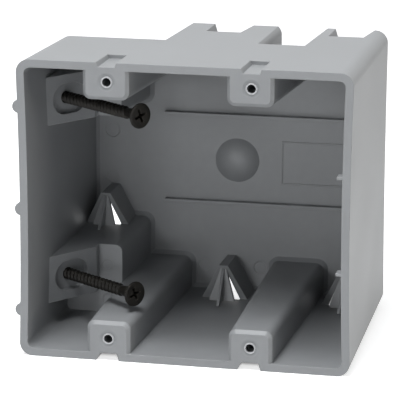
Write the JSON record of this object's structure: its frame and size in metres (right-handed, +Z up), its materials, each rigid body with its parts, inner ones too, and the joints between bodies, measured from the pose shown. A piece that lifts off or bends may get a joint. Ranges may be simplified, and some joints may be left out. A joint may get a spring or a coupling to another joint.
{
  "type": "two-gang electrical box",
  "caption": "Moulded plastic wall box for wiring devices side by side, with captive mounting screws set at an angle and cable clamps moulded into its walls.",
  "frame": {"origin": "centre of the device-screw pattern, in the plane of the front rim", "axes": "+Z up, -Y out of the box's open front, +X across the gangs away from the mounting screws"},
  "size_m": [0.1085, 0.08, 0.0968],
  "materials": {
    "moulding": "matte",
    "screw": "satin"
  },
  "bodies": {
    "box": {"box_shell": "moulding"},
    "lower_screw": {"lower_mounting_screw": "screw"},
    "upper_screw": {"upper_mounting_screw": "screw"}
  },
  "joints": [
    {"name": "lower_screw_slide", "type": "slide", "parent": "box", "child": "lower_screw", "axis": [-0.8194, 0.5733, 0], "range_m": [-0.006, 0.0309]},
    {"name": "upper_screw_slide", "type": "slide", "parent": "box", "child": "upper_screw", "axis": [-0.7999, 0.6001, 0], "range_m": [-0.002, 0.0353]}
  ]
}
